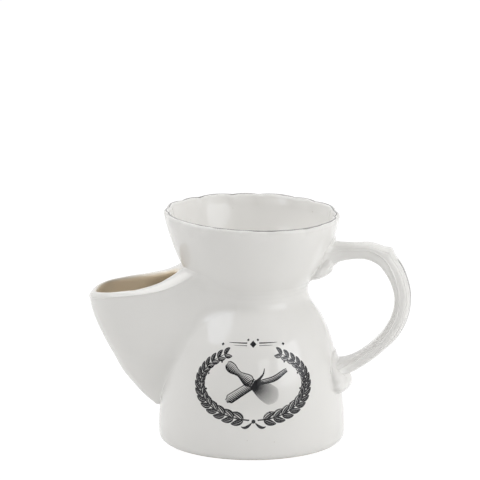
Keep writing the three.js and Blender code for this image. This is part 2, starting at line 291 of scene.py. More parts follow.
# Filled pot, moved in from the skin by the given depth, to trim what is luted on
def makeTrimmer(name, depth):
    heights = np.arange(-4, 124, 1.0)
    side = np.stack([potRadius(heights) - depth, heights], 1).tolist()
    points, faces = revolve([[0, heights[0]]] + side + [[0, heights[-1]]], 256)
    points[:, 2] -= tiltAt(points[:, 0], points[:, 2], points[:, 1])
    return makeObject(name, points, faces)


# Spout

spoutShape = {
    "keel": 15,  # lowest point on the body
    "back": 15,  # sections start this far from the axis
    "runOn": 12,  # the flanks run on this far inside the neck before they close
    "windowTop": 66,  # the way through the reservoir's wall
    "windowBottom": 22,
    "level": 76,  # height at which the crease's distance from the axis is read
    "flankBlend": 4.5,  # soft junction with the bell
    "neckBlend": 6.5,  # and with the neck, under the collar
    "neckHeights": [62, 80],  # between these the one goes over into the other
    "roll": [  # share of the way from crease to mouth, push outwards, lift
        [0, 1, 0.2], [0.14, 0.9, 0.75], [0.34, 0.4, 1.05], [0.5, 0, 1], [0.7, 0, 0.6], [0.88, 0, -0.2],
    ],
    "lipBlend": 1.2,  # the lip itself meets the bowl in a tight corner
    "lipRows": [2, 14],  # rows of the mesh past the crease in which the corner tightens
    "mouthMiddle": 59,  # the mouth seen from above, an oval that is squarer towards the neck
    "mouthLong": 20.3,
    "mouthWide": 16.4,
    "seam": 172.5,  # from this turn on, the columns close the spout inside the neck
    "thinGlazeAndShadeDepths": [-0.6, 1.8],  # the inside tint sets in this far below the lip: thin glaze over cream clay, warmed further as painted shade of the deep cavity
}

keelReach = curveThrough([
    [15, 49.6], [19.4, 54.9], [25.6, 60.5], [33.8, 66.8], [42.2, 71.2], [50.5, 75.7],
    [57, 78.9], [63, 81.4], [69, 83.1], [74, 83.7], [93, 83.9],
])
spoutHalfWidth = curveThrough([
    [15, 1.5], [20, 7], [25, 11], [30, 14.6], [37, 19], [46, 23.8], [56, 24.4], [66, 24.6], [93, 24.6],
])
creaseHeight = curveThrough([
    [15, 93], [26.4, 90.6], [28.1, 88.6], [33.8, 85.1], [42.4, 81.4], [51, 79.1], [62.8, 76.8],
    [75, 74.3], [84, 72],
])
outlineTurn = curveThrough([
    [0, 0], [38, 36], [76, 54.5], [105, 68], [130, 76], [152, 82], [165, 86.5], [172.5, 90],
])

# Along the lip, by the turn in degrees from the tip (0) to the neck (180)
mouthHeight = curveThrough([
    [0, 75.7], [45, 76.9], [75, 78.5], [105, 80.7], [130, 83], [150, 85.4], [180, 87.4],
])
lipSwell = curveThrough([
    [0, 1.6], [40, 1.3], [70, 0.8], [115, 0.7], [140, 1.3], [165, 2.6], [180, 2.6],
])
innerRound = curveThrough([[0, 2.4], [60, 2.4], [100, 2.1], [135, 1.7], [180, 1.6]])
lipOverhang = curveThrough([[0, 0.5], [30, 0.5], [60, 0.6], [90, 0.6], [140, 0.4], [180, 0]])


# Points of the spout's outline at the given heights, a thickness inside the outer skin
def spoutPoints(column, z, inset):
    z = np.atleast_1d(np.asarray(z, float))
    away = abs(column)
    side = np.sign(column)
    seam = spoutShape["seam"]
    turn = math.radians(float(outlineTurn(min(away, seam))))
    reach = (keelReach(z) - inset - spoutShape["back"]) * max(math.cos(turn), 0) ** (2 / 3)
    half = np.maximum(spoutHalfWidth(z) - inset, 0.5) * math.sin(turn) ** (2 / 2.5)
    past = max(away - seam, 0) / (180 - seam)
    onwards = min(past / 0.7, 1) * (-1 if inset else spoutShape["runOn"])
    x = onwards - spoutShape["back"] - reach
    return np.stack([x, side * half * min((1 - past) / 0.3, 1), z], 1)


def mouthPoint(column):
    angle = math.radians(column)
    power = 2 / 3 if abs(column) < 90 else 2 / 1.75
    cosine = math.copysign(abs(math.cos(angle)) ** power, math.cos(angle))
    sine = math.copysign(abs(math.sin(angle)) ** power, math.sin(angle))
    x = -(spoutShape["mouthMiddle"] + spoutShape["mouthLong"] * cosine)
    return np.array([x, spoutShape["mouthWide"] * sine, float(mouthHeight(abs(column)))])


# One column of the spout's wall: up the outside, over the rolled lip and down the inside
def spoutColumn(column):
    away = abs(column)
    keel = spoutShape["keel"]
    creaseReach = -spoutPoints(column, spoutShape["level"], 0)[0][0]
    crease = spoutPoints(column, creaseHeight(creaseReach), 0)[0]
    edge = mouthPoint(column)
    outside = spoutPoints(column, keel + (crease[2] - keel) * np.linspace(0, 0.965, 66), 0)
    out = crease[:2] - edge[:2]
    out = out / max(np.linalg.norm(out), 1e-6)
    roll = []
    for share, proud, swell in spoutShape["roll"]:
        point = crease + (edge - crease) * share
        point[:2] += out * proud * float(lipOverhang(away))
        point[2] += swell * float(lipSwell(away))
        roll.append(point)
    shares = np.concatenate([[0.03, 0.065], np.linspace(0.11, 1, 26)])
    edge[2] -= float(innerRound(away))
    z = edge[2] + (spoutShape["windowBottom"] - edge[2]) * shares
    ease = smoothStep(0, 14, edge[2] - z)[:, None]
    straight = np.stack([np.full_like(z, edge[0]), np.full_like(z, edge[1]), z], 1)
    inside = straight + (spoutPoints(column, z, potShape["wall"] + 0.5) - straight) * ease
    bend = np.concatenate([outside[-2:], [crease], roll, [edge], inside[:3]])
    bend = roundedPath(bend, 4)
    return outside[:-2], bend, inside[3:]


# Evens the rows from first to last along each column of a grid
def softenRows(grid, first, last, times):
    for _ in range(times):
        around = grid[first - 1:last - 1] + 2 * grid[first:last] + grid[first + 1:last + 1]
        grid[first:last] = around / 4


# Tells for each point whether it lies on the outer skin, and on which row of it
def findOnSkin(points, skin):
    rows, columns = skin.shape[:2]
    touching = 0.002
    tree = BVHTree.FromPolygons(skin.reshape(-1, 3).tolist(), gridFaces(rows, columns))
    found = [tree.find_nearest(Vector(point)) for point in points]
    onSkin = np.array([distance < touching for _, _, _, distance in found])
    row = np.array([face for _, _, face, _ in found]) // columns
    return onSkin, row


# Draws the skin of the spout out onto the pot, as slip fills a luted corner
def blendOntoPot(points, onSkin, pastCrease):
    x, y, z = points.T
    radius = np.hypot(x, y)
    wall = skinRadius(x, z)
    flank, neck, lip = [spoutShape[key] for key in ["flankBlend", "neckBlend", "lipBlend"]]
    blend = flank + (neck - flank) * smoothStep(*spoutShape["neckHeights"], z)
    blend += (lip - blend) * smoothStep(*spoutShape["lipRows"], pastCrease)
    sink = 0.02 + 0.35 * smoothStep(0, 3, wall - blend - radius)  # the joined edge dips into the pot
    moved = np.where(onSkin, smoothMax(wall - sink, radius, blend), np.maximum(radius, wall - 2))
    return np.stack([x * moved / radius, y * moved / radius, z], 1)


# Marks the inside, where the glaze is thin; the warm tint there also stands in for the painted shade of
# the deep cavity
def markInside(spout, points, onSkin):
    ahead = -(points[:, 0] + spoutShape["mouthMiddle"]) / spoutShape["mouthLong"]
    aside = np.abs(points[:, 1]) / spoutShape["mouthWide"]
    below = mouthHeight(np.degrees(np.arctan2(aside, ahead))) - points[:, 2]
    inner = spout.data.attributes.new("inside", "FLOAT", "POINT")
    share = smoothStep(*spoutShape["thinGlazeAndShadeDepths"], below)
    inner.data.foreach_set("value", np.where(onSkin, 0, share))


def makeSpout(trimmer):
    columns = [spoutColumn(column) for column in np.arange(-180, 180, 1.25)]
    grid = np.stack([np.concatenate(parts) for parts in columns], 1)
    bendStart = len(columns[0][0])
    bendEnd = bendStart + len(columns[0][1])
    softenRows(grid, bendStart - 2, bendEnd + 2, 3)
    points, faces = loftRings(grid)
    spout = makeObject("spout_with_rolled_lip", points, faces)
    cutAway(spout, trimmer)
    points = readPoints(spout)
    onSkin, row = findOnSkin(points, grid[:bendStart + 26])  # up to the highest line of the lip
    points = blendOntoPot(points, onSkin, row - bendStart)
    writePoints(spout, points)
    markInside(spout, points, onSkin)
    shadeSmooth(spout, 40)
    return spout


# Reservoir, with its foot and the way through to the spout

def makeReservoir():
    foot = [[0, 2.5], [38.4, 2.5], [39.4, 2.3], [40.2, 1.7], [40.9, 0.8], [41.3, 0.35], [42, 0.2]]
    foot += [[46, 0.2], [46.5, 0.3], [46.95, 0.55], [47.25, 0.95], [47.45, 1.4]]
    heights = np.arange(2, 82, 0.6)
    past = np.maximum(heights - potShape["waist"], 0)
    outside = np.stack([potRadius(heights) - potShape["tuckIn"] * past ** 2, heights], 1).tolist()
    inside = insetProfile(np.arange(10, 75, 1.5), potShape["wall"])[::-1]
    crown = [[27.2, 81.3], [25.6, 80.2], [24.7, 78.9]]
    floor = [[42.7, 10.6], [42.2, 9.2], [41.2, 7.8], [39.8, 6.9], [38, 6.5], [0, 6.5]]
    points, faces = revolve(foot + outside + crown + inside + floor, 288)
    body = makeObject("bell_reservoir", points, faces)
    z = np.linspace(spoutShape["windowBottom"], spoutShape["windowTop"], 34)
    columns = [spoutPoints(column, z, potShape["wall"] + 0.2) for column in np.arange(-180, 180, 3.75)]
    points, faces = loftRings(np.stack(columns, 1))
    window = makeObject("window", points, faces)
    cutAway(body, window)
    removeObject(window)
    return body


# The ring that the scuttle stands on, wiped clean of glaze
def makeFootRing():
    outline = [
        [41.7, 0.1], [41.9, 0], [46.05, 0], [46.35, 0.08], [46.6, 0.25], [46.6, 0.6], [41.5, 0.6],
        [41.45, 0.3],
    ]
    points, faces = revolve(outline, 240)
    return makeObject("wiped_foot_ring", points, faces)


# Bowl, with its scalloped and tilted rim

rimShape = {
    "lobeStart": 16.5,  # degrees, first notch
    "wideLobe": 27,  # a wide and a narrow lobe share one pitch
    "pitch": 45,
    "narrowHeight": 0.7,  # narrow lobes swell less than wide ones
    "bulge": 1.3,  # outwards on a lobe
    "draw": 0.8,  # inwards in a notch
    "drop": 0.4,  # and down in it
    "from": 112,  # height where the lobes fade out
    "backSlip": 3.5,  # degrees that the notches at the back lag
    "lustreFrom": 0.31,  # shares of the rim's round, from outside to inside
    "lustreTo": 0.58,
    "lustreThinning": 0.6,  # how much narrower the line gets at the spout and handle sides
    "lustreProud": 0.03,
    "lustreSunk": 0.12,
    "columns": 360,  # points round the rim
    "firstAngle": 0.5,
}

rimRound = [
    [44.75, 116.4], [44.72, 117.1], [44.45, 117.75], [43.95, 118.22], [43.25, 118.4],
    [42.5, 118.22], [41.95, 117.7], [41.6, 117], [41.3, 116],
]


# Height of the scallops round the rim, 0 in a notch and 1 on a wide lobe
def scallop(angle):
    slip = rimShape["backSlip"] * smoothStep(0, 1, np.sin(np.radians(angle)))
    turn = np.mod(angle - slip - rimShape["lobeStart"], rimShape["pitch"])
    wide = turn < rimShape["wideLobe"]
    narrowSpan = rimShape["pitch"] - rimShape["wideLobe"]
    share = np.where(wide, turn / rimShape["wideLobe"], (turn - rimShape["wideLobe"]) / narrowSpan)
    return np.abs(np.sin(math.pi * share)) ** 0.85 * np.where(wide, 1, rimShape["narrowHeight"])


def shapeRim(points):
    x, y, z = points.T
    fade = smoothStep(rimShape["from"], potShape["rim"], z)
    lobe = scallop(np.degrees(np.arctan2(y, x)))
    scale = 1 + (rimShape["bulge"] * lobe - rimShape["draw"]) * fade / np.maximum(np.hypot(x, y), 1)
    lifted = z + (lobe - 1) * rimShape["drop"] * fade
    return np.stack([x * scale, y * scale, lifted - tiltAt(x * scale, lifted, y * scale)], 1)


def makeBowl():
    heights = np.arange(76.4, 116.2, 0.55)
    past = np.maximum(potShape["waist"] - heights, 0)
    outside = np.stack([potRadius(heights) - potShape["tuckIn"] * past ** 2, heights], 1).tolist()
    rim = roundedPath(rimRound, 3).tolist()
    inside = insetProfile(np.arange(89, 113.4, 0.8), potShape["bowlWall"])[::-1]
    seat = [[29.6, 88.3], [28.6, 87.4], [27.6, 86.7], [27.1, 86.45], [26.9, 86.1], [26.9, 83]]
    throat = [[22.8, 83], [22.5, 82.7], [22.5, 81.2], [24.8, 79.2], [26.4, 77.2]]
    profile = outside + rim + inside + seat + throat
    points, faces = revolve(profile, rimShape["columns"], rimShape["firstAngle"])
    return makeObject("scalloped_soap_bowl", shapeRim(points), faces)


# Painted lustre on the outer round of the rim
def makeRimLustre():
    rim = roundedPath(rimRound, 6)
    run = runAlong(rim)
    along = np.gradient(rim, axis=0)
    normal = np.stack([-along[:, 1], along[:, 0]], 1)
    normal /= -np.linalg.norm(normal, axis=1)[:, None]
    columns = rimShape["columns"]
    angles = np.radians(rimShape["firstAngle"] + np.arange(columns) * 360 / columns)
    waver = np.zeros(columns)  # the brush wavers round the rim
    for amount, waves, start in [[0.03, 3, 0.4], [0.025, 11, 0], [0.02, 29, 2]]:
        waver += amount * np.sin(waves * angles + start)
    middle = (rimShape["lustreFrom"] + rimShape["lustreTo"]) / 2
    half = (rimShape["lustreTo"] - rimShape["lustreFrom"]) / 2
    half = half * (1 - rimShape["lustreThinning"] * np.abs(np.cos(angles)) ** 2.5)
    rings = []
    for onTop in [True, False]:
        shares = np.linspace(-1, 1, 9)
        for share in shares if onTop else shares[::-1]:
            at = (middle + half * share + waver * (0.9 + 0.1 * share)) * run[-1]
            bulge = rimShape["lustreProud"] * math.sqrt(max(1 - share * share, 0.02))
            away = bulge if onTop else -rimShape["lustreSunk"]
            r = np.interp(at, run, rim[:, 0]) + away * np.interp(at, run, normal[:, 0])
            z = np.interp(at, run, rim[:, 1]) + away * np.interp(at, run, normal[:, 1])
            rings.append(np.stack([r * np.cos(angles), r * np.sin(angles), z], 1))
    points = shapeRim(np.concatenate(rings))
    return makeObject("rim_lustre_line", points, gridFaces(len(rings), columns, closedRows=True), 60)


# Pierced disc between soap and water

drainerShape = {
    "seat": 83.3,  # a joint's gap above the ledge in the bowl
    "thickness": 3.3,
    "radius": 26.55,
    "holes": 6,  # round one in the middle
    "holeCircle": 14,
    "hole": 2.8,
    "dish": 0.25,  # the top sags towards the middle, so that water runs off
}


def makeDrainer():
    base = drainerShape["seat"]
    top = base + drainerShape["thickness"]
    outer = drainerShape["radius"]
    dish = drainerShape["dish"]
    edge = [[outer - 0.6, base], [outer, base + 0.6], [outer, top - 1], [outer - 0.35, top - 0.35]]
    edge += [[outer - 1, top - 0.08]]
    dished = [[r, top - 0.05 - dish * (1 - (r / outer) ** 2)] for r in np.arange(24, 0, -2)]
    points, faces = revolve([[0, base]] + edge + dished + [[0, top - 0.05 - dish]], 160)
    disc = makeObject("pierced_drainer", points, faces)
    hole = drainerShape["hole"]
    flare = [[0, base - 1], [hole - 0.1, base - 1], [hole, top - 1.3], [hole + 0.2, top - 0.8]]
    flare += [[hole + 0.7, top - 0.35], [hole + 1.5, top], [hole + 1.5, top + 1], [0, top + 1]]
    points, faces = revolve(flare, 40)
    for i in range(drainerShape["holes"] + 1):
        away = drainerShape["holeCircle"] if i < drainerShape["holes"] else 0
        angle = i * 2 * math.pi / drainerShape["holes"]
        bore = makeObject("bore", points + [away * math.cos(angle), away * math.sin(angle), 0], faces)
        cutAway(disc, bore)
        removeObject(bore)
    return disc


# Handle

handleShape = {
    "thumbAt": 0.292,  # share of the way from the bowl to the bell
    "thumbHigh": 1.4,
    "thumbLong": 0.015,
    "rootFlare": 2.4,  # radius of the soft junction with the pot
    "gripFrom": 0.09,  # the grip lies between the two roots
    "gripTo": 0.9,
    "beadHigh": 0.05,  # share of the half width
    "grooves": 0.035,  # share of the round outer face
    "lineFrom": 0.33,  # the painted line
    "lineTo": 0.72,
    "lineWide": 1.5,
    "lineSide": -1.5,  # a little towards the front
    "lineProud": 0.035,
    "lineSunk": 0.15,
}

handlePath = roundedPath([
    [35, 97.9], [43, 98.6], [52, 99.4], [60.6, 99.4], [68, 96.3], [72.6, 91], [75.7, 84.7],
    [77.6, 76.1], [76.2, 65.9], [71.6, 56.7], [66.6, 51], [60.4, 45.4], [52.1, 40], [40, 34.8],
], 60)
handleRun = runAlong(handlePath)

# By the share of the way along the handle
handleThickness = curveThrough([
    [0, 13.4], [0.05, 11.4], [0.1, 8.9], [0.16, 7.7], [0.22, 8.3], [0.3, 8.9], [0.36, 9], [0.42, 8.6],
    [0.5, 8.3], [0.6, 8.3], [0.66, 8.1], [0.72, 7.4], [0.8, 7.1], [0.86, 7.1], [0.92, 7.8], [1, 10],
])
handleHalfWidth = curveThrough([
    [0, 8.8], [0.04, 8], [0.075, 6.6], [0.11, 5.8], [0.2, 5.6], [0.3, 6.6], [0.5, 6.5], [0.75, 6.1],
    [0.86, 6.4], [0.91, 8.2], [0.95, 11.2], [1, 12.8],
])

# Bead along the flat side, and the shoulder where the side turns over to the round outer face
beadAt = curveThrough([[0, 0.1], [0.2, 0.14], [0.38, -0.1], [0.5, -0.2], [1, -0.22]])
shoulderAt = curveThrough([
    [0, 0.24], [0.2, 0.22], [0.33, 0.12], [0.45, 0.02], [0.65, 0.05], [0.85, 0.2], [1, 0.24],
])


# Section of the strap as [outwards, sideways], in shares of thickness and half width
def strapSection(share):
    bead = float(beadAt(share))
    shoulder = float(shoulderAt(share))
    half = [[-0.5, 0], [-0.5, 0.4], [-0.48, 0.74], [-0.41, 0.92], [-0.32, 0.97]]
    half += [[bead - 0.05, 0.975], [bead, 0.975 + handleShape["beadHigh"]], [bead + 0.05, 0.97]]
    for degrees in [2, 14, 23, 28, 33, 46, 51, 56, 72]:
        turn = math.radians(degrees)
        reach = 1 - (handleShape["grooves"] if degrees in [28, 51] else 0)
        half.append([shoulder + (0.5 - shoulder) * math.sin(turn) * reach, 0.96 * math.cos(turn) * reach])
    half.append([0.5, 0])
    otherHalf = [[u, -v] for u, v in half[-2:0:-1]]
    return roundedPath(half + otherHalf, 3, closed=True)


def handlePoint(run):
    return np.array([np.interp(run, handleRun, handlePath[:, k]) for k in range(2)])


# Middle and outward direction of the handle at a share of its length
def handleAt(share):
    run = share * handleRun[-1]
    along = handlePoint(run + 0.8) - handlePoint(run - 0.8)
    along /= np.linalg.norm(along)
    return handlePoint(run), np.array([-along[1], along[0]])


def thumbRise(share):
    away = (share - handleShape["thumbAt"]) / handleShape["thumbLong"]
    return handleShape["thumbHigh"] * math.exp(-away ** 2)


# Ring of the strap at a share of its length, flared where it comes near the pot
def strapRing(share):
    middle, outwards = handleAt(share)
    section = strapSection(share)
    u = section[:, 0] * float(handleThickness(share))
    u = u + smoothStep(0.2, 0.4, section[:, 0]) * thumbRise(share)
    v = section[:, 1] * float(handleHalfWidth(share))
    ring = np.stack([middle[0] + outwards[0] * u, v, middle[1] + outwards[1] * u], 1)
    clear = np.hypot(ring[:, 0], ring[:, 1]) - skinRadius(ring[:, 0], ring[:, 2])
    radius = handleShape["rootFlare"]
    near = np.clip(radius - clear, 0, radius)
    flare = radius - np.sqrt(np.maximum(radius ** 2 - near ** 2, 0))
    centre = np.array([middle[0], 0, middle[1]])
    direction = ring - centre
    direction /= np.linalg.norm(direction, axis=1)[:, None]
    return ring + direction * flare[:, None]


def makeHandle(trimmer):
    gripFrom, gripTo = handleShape["gripFrom"], handleShape["gripTo"]
    upperRoot = np.linspace(0, gripFrom, 34)
    grip = np.linspace(gripFrom, gripTo, 190)[1:-1]
    lowerRoot = np.linspace(gripTo, 1, 40)
    rings = [strapRing(share) for share in np.concatenate([upperRoot, grip, lowerRoot])]
    points, faces = loftRings(rings)
    handle = makeObject("ridged_strap_handle", points, faces)
    cutAway(handle, trimmer, 50)
    return handle


# Painted lustre down the spine of the handle
def makeHandleLustre():
    shares = np.linspace(handleShape["lineFrom"], handleShape["lineTo"], 130)
    rings = []
    for i, share in enumerate(shares):
        middle, outwards = handleAt(share)
        taper = min(1, i / 8, (len(shares) - 1 - i) / 16)
        wide = handleShape["lineWide"] * (0.25 + 0.75 * math.sqrt(taper))
        wide *= 1 + 0.12 * math.sin(i * 0.41)  # the brush wavers
        section = strapSection(share)
        spine = section[section[:, 0] > float(shoulderAt(share)) + 0.05]
        order = np.argsort(spine[:, 1])
        ring = []
        for onTop in [True, False]:
            for side in np.linspace(-0.5, 0.5, 5) if onTop else np.linspace(0.5, -0.5, 5):
                v = side * wide + handleShape["lineSide"]
                level = np.interp(v / float(handleHalfWidth(share)), spine[order, 1], spine[order, 0])
                u = level * float(handleThickness(share)) + thumbRise(share)
                bulge = handleShape["lineProud"] * (1 - 1.2 * side * side)
                u += bulge if onTop else -handleShape["lineSunk"]
                ring.append([middle[0] + outwards[0] * u, v, middle[1] + outwards[1] * u])
        rings.append(ring)
    points, faces = loftRings(rings)
    return makeObject("handle_lustre_line", points, faces, 60)


# Leaves moulded on the wall where the handle's roots grow out of it

leafReach = 36  # distance from the axis at which the tilt of the bowl is taken
leafBack = 1.8  # how far the back of a leaf lies inside the wall


def makeLeaf(name, settings):
    proudAt = curveThrough(settings["proud"])
    halfAt = curveThrough(settings["half"])
    low = settings["proud"][0][0]
    high = settings["proud"][-1][0]
    z = np.linspace(low - 2.5, high + 2.5, settings["rows"])[:, None]
    widest = max(station[1] for station in settings["half"]) + 3
    across = np.linspace(-widest, widest, settings["columns"])[None, :]
    z, across = np.broadcast_arrays(z, across)
    wall = skinRadius(leafReach, z)
    s = across / halfAt(z)
    swell = 0.7 + 0.3 * np.exp(-((s / 0.55) ** 2)) + settings["ribs"] * np.cos(5 * math.pi * s)
    body = proudAt(z) * swell * np.sqrt(np.clip(1 - np.abs(s) ** settings["edge"], 0, 1))
    phase = (z - low) * 2 * math.pi / settings["lobePitch"] + np.abs(s) * 2.2
    body = body * (1 + settings["notch"] * np.sin(phase) * smoothStep(0.35, 0.9, np.abs(s)))
    outsideBy = np.maximum(np.abs(s) - 1, 0) * halfAt(z)
    outsideBy = outsideBy + np.maximum(low - z, 0) + np.maximum(z - high, 0)
    body = np.where(outsideBy > 0, -1.6 * outsideBy, body)
    front = smoothMax(wall - 0.02 - 0.3 * smoothStep(0.8, 2.4, outsideBy), wall + body, settings["blend"])
    angle = across / wall
    surface = np.stack([front * np.cos(angle), front * np.sin(angle), z], -1)
    back = np.stack([(wall - leafBack) * np.cos(angle), (wall - leafBack) * np.sin(angle), z], -1)
    rings = np.concatenate([surface, back[:, ::-1]], 1)
    points, faces = loftRings(rings)
    return makeObject(name, points, faces, 60)


# Relief and half width are [height, millimetres]
upperLeaf = {
    "proud": [
        [84.2, 1], [85.5, 5.4], [88, 7.2], [90.4, 6.4], [93, 7.4], [96, 6.5], [100, 3.8], [105.4, 0.6],
    ],
    "half": [
        [84.2, 4], [85.6, 9.2], [87.4, 11.5], [89.5, 11.2], [92, 9.8], [95, 8.2], [98, 7], [102, 6],
        [105.4, 4],
    ],
    "ribs": 0,  # share of the relief that ribs add
    "notch": 0.01,  # share of it that comes and goes along the edges
    "lobePitch": 5.2,
    "edge": 6,  # a higher number makes the sides steeper
    "blend": 3.2,
    "rows": 120,
    "columns": 140,
}
lowerLeaf = {
    "proud": [
        [24.8, 0.4], [26.2, 3], [28.2, 5.2], [31, 6.4], [34, 6], [37, 5.2], [39.5, 3.2], [42, 1.2],
        [44, 0.5], [45.6, 0.2],
    ],
    "half": [
        [24.8, 3], [26, 8.6], [27.6, 12.8], [30, 15], [32.6, 14.4], [35.6, 14.8], [39, 13], [42, 11],
        [44, 9], [45.6, 6],
    ],
    "ribs": 0.01,
    "notch": 0.015,
    "lobePitch": 5,
    "edge": 7,
    "blend": 2.4,
    "rows": 120,
    "columns": 150,
}


# Printed ornament on the front of the bell, in black lines like an engraving

printShape = {
    "turn": 7.6,  # degrees from the front towards the handle
    "middle": 38.5,  # height of the middle of the wreath
    "bellRadius": 45.5,  # the flat design is bent round this radius
    "proud": 0.035,
    "sunk": 0.06,
    "wreathWide": 29.3,
    "wreathHigh": 17.5,
    "stemFrom": -86,  # degrees round the wreath from its side
    "stemTo": 58,
    "leafPairs": 15,
    "leafFrom": -80,
    "leafPitch": 9.7,
    "leafShrink": 0.022,  # share by which each pair is smaller than the last
    "leafLong": 6.6,
    "leafWide": 3,
    "leafLean": 27,  # degrees off the stem
    "toolLean": 33,  # degrees, razor and brush cross at this slope
    "crossing": 0.6,  # height of their crossing above the middle
}

printParts = []  # every stroke adds its points and faces here


# Design plane to the skin of the bell: u along the arc, v up
def wrapPrint(flat, lift):
    u, v = flat[..., 0], flat[..., 1]
    z = printShape["middle"] + v
    turn = math.radians(printShape["turn"]) + u / printShape["bellRadius"]
    radius = potRadius(z) + lift
    return np.stack([radius * np.sin(turn), -radius * np.cos(turn), z], -1)


def normalsOf(path):
    along = np.gradient(path, axis=0)
    along /= np.maximum(np.linalg.norm(along, axis=1), 1e-9)[:, None]
    return np.stack([-along[:, 1], along[:, 0]], 1)


# One inked line along a path in the design plane
def stroke(path, widths):
    path = np.asarray(path, float)
    widths = np.maximum(np.broadcast_to(np.asarray(widths, float), len(path)), 0.04)
    strips = max(1, math.ceil(widths.max() / 1.2))
    shares = np.linspace(-0.5, 0.5, strips + 1)
    flat = path[:, None] + normalsOf(path)[:, None] * widths[:, None, None] * shares[None, :, None]
    top = wrapPrint(flat, printShape["proud"])
    under = wrapPrint(flat, -printShape["sunk"])
    printParts.append(loftRings(np.concatenate([top, under[:, ::-1]], 1)))


# Shape shaded by lines along it, from closed on the dark side to open on the light side
def engrave(path, widths, lines, light, outline):
    dark = 0.98
    path = np.asarray(path, float)
    widths = np.broadcast_to(np.asarray(widths, float), len(path))
    normal = normalsOf(path)
    for i in range(lines):
        share = (i + 0.5) / lines - 0.5
        fill = dark + (light - dark) * (i / max(lines - 1, 1))
        stroke(path + normal * (widths * share)[:, None], widths / lines * fill)
    for side in [-0.5, 0.5]:
        stroke(path + normal * (widths * side)[:, None], np.minimum(outline, widths * 0.6 + 0.04))


# Turns and moves a drawing made along +u
def placed(path, angle, u, v, mirror=1):
    path = np.asarray(path, float)
    c, s = math.cos(math.radians(angle)), math.sin(math.radians(angle))
    turned = np.stack([path[:, 0] * c - path[:, 1] * s, path[:, 0] * s + path[:, 1] * c], 1)
    return np.stack([mirror * (turned[:, 0] + u), turned[:, 1] + v], 1)


def dot(u, v, size):
    t = np.linspace(-1, 1, 13)
    path = np.stack([u + t * size / 2, np.full_like(t, v)], 1)
    stroke(path, size * np.sqrt(np.maximum(1 - t * t, 0)))


def drawWreath():
    wide, high = printShape["wreathWide"], printShape["wreathHigh"]
    for mirror in [1, -1]:
        turns = np.radians(np.linspace(printShape["stemFrom"], printShape["stemTo"], 60))
        stem = np.stack([mirror * wide * np.cos(turns), high * np.sin(turns)], 1)
        stroke(stem, np.linspace(0.7, 0.3, 60))
        for i in range(printShape["leafPairs"]):
            at = math.radians(printShape["leafFrom"] + i * printShape["leafPitch"])
            base = np.array([wide * math.cos(at), high * math.sin(at)])
            ahead = math.degrees(math.atan2(high * math.cos(at), -wide * math.sin(at)))
            size = 1 - printShape["leafShrink"] * i
            for side in [1, -1]:
                t = np.linspace(0, 1, 16)
                bow = 0.5 * side * np.sin(math.pi * t)
                leafLine = np.stack([t * printShape["leafLong"] * size, bow], 1)
                width = printShape["leafWide"] * size * np.sin(math.pi * t ** 0.8) ** 0.8
                path = placed(leafLine, ahead + side * printShape["leafLean"], *base, mirror)
                engrave(path, width, 3, 0.5 if side > 0 else 0.8, 0.22)
            if i % 3 == 1:
                inner = base * (1 - 3.3 / np.linalg.norm(base))
                dot(mirror * inner[0], inner[1], 1.0)
    for side in [1, -1]:  # the tie where the two sprays cross
        t = np.linspace(0, 1, 14)
        loop = np.stack([side * (0.8 + 5.2 * t), -high - 1.2 - 2.6 * np.sin(t * 2.2)], 1)
        stroke(loop, 0.35 + 1.1 * np.sin(math.pi * t))
    dot(0, -high - 0.6, 2.0)


def drawRazor():
    lean = printShape["toolLean"]
    up = printShape["crossing"]
    t = np.linspace(0, 1, 40)
    blade = np.stack([-16.5 + 17.5 * t, 0.2 * np.sin(math.pi * t)], 1)
    bladeWidth = 4.6 * np.clip(t * 9, 0.45, 1) * (1 - 0.16 * t)
    engrave(placed(blade, lean, 0, up), bladeWidth, 6, 0.2, 0.34)
    tang = np.stack([1 + 5.2 * t, 0.9 * t * t], 1)
    stroke(placed(tang, lean, 0, up), 1.9 - 0.8 * t)
    hook = np.stack([6.2 + 3 * t, 0.9 + 2.2 * t ** 1.6], 1)
    stroke(placed(hook, lean, 0, up), 1.1 - 0.7 * t)
    scale = np.stack([2.4 + 17 * t, -0.6 - 1.4 * t - 1.04 * np.sin(math.pi * t) ** 2], 1)
    scaleWidth = 2.6 * np.sin(math.pi * (0.08 + 0.84 * t)) ** 0.35
    engrave(placed(scale, lean - 9, 0, up), scaleWidth, 4, 0.45, 0.3)


def drawBrush():
    lean = 180 - printShape["toolLean"]
    up = printShape["crossing"]
    gripWidth = curveThrough([
        [0, 2.2], [0.06, 4.4], [0.2, 5], [0.34, 3.2], [0.44, 2.7], [0.56, 4.2], [0.66, 5.6], [0.74, 5.8],
        [0.8, 4.6],
    ])
    t = np.linspace(0, 0.8, 44)
    grip = np.stack([17.5 - 20 * t, 0 * t], 1)
    engrave(placed(grip, lean, 0, up), gripWidth(t), 7, 0.25, 0.34)
    collar = np.array([[1.1, -2.4], [1.0, 0], [1.1, 2.4]])
    stroke(placed(roundedPath(collar, 6), lean, 0, up), 0.7)
    for i, share in enumerate(np.linspace(-1, 1, 19)):
        length = 15.2 - 2.6 * share * share
        s = np.linspace(0, 1, 14)
        hair = np.stack([0.4 - length * s, share * (2.1 + 2.6 * np.sin(s * 1.9))], 1)
        stroke(placed(hair, lean, 0, up), (0.42 if i % 2 else 0.3) * (1 - 0.75 * s ** 2))


# Two thin rules with lozenges between and beside them, above the wreath
def drawRules():
    along = np.linspace(0, 1, 40)
    lozenges = [[2.6, 0, 19.9]]
    for side in [-1, 1]:
        for height, length, width in [[20.4, 11, 0.5], [19.2, 8, 0.22]]:
            path = np.stack([side * (3.6 + length * along), np.full_like(along, height)], 1)
            stroke(path, width * (1 - along) ** 0.5 + 0.06)
        lozenges += [[1.2, side * 18.2, 19.4], [1, side * 2.9, 21.9]]
    across = np.linspace(-1, 1, 11)
    for size, u, v in lozenges:
        path = np.stack([u + across * size * 0.75, np.full_like(across, v)], 1)
        stroke(path, size * (1 - np.abs(across)) * 1.3)


